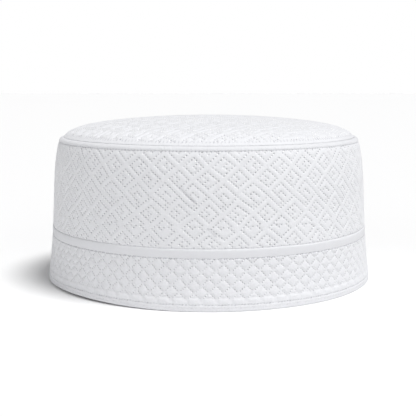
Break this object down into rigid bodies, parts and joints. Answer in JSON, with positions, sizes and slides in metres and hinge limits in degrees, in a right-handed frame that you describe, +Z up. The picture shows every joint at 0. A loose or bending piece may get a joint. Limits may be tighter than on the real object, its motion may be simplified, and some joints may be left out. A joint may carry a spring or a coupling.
{
  "type": "prayer cap",
  "caption": "Round quilted cotton prayer cap with a shallow padded crown, a fret-quilted wall and a diamond-quilted foot.",
  "frame": {"origin": "centre of the cap's resting base, on the surface that it stands on", "axes": "+Z up through the crown, -Y towards the front of the pictured side, +X to its right"},
  "size_m": [0.187, 0.187, 0.093],
  "materials": {
    "crown_quilting": "matte white quilted cotton, fret pattern in fine stitches",
    "seam_ridge": "matte white cotton ridge with close stitches",
    "wall_quilting": "matte white quilted cotton, fret pattern in fine stitches",
    "smooth_channel": "matte white cotton, smooth, with a fine weave",
    "diamond_quilting": "matte white quilted cotton, small padded diamonds",
    "hem_cloth": "matte white cotton, folded and stitched edge"
  },
  "bodies": {
    "root": {"crown": "crown_quilting", "crown_seam": "seam_ridge", "side_band": "wall_quilting", "plain_band": "smooth_channel", "lower_band": "diamond_quilting", "hem": "hem_cloth"}
  },
  "joints": []
}
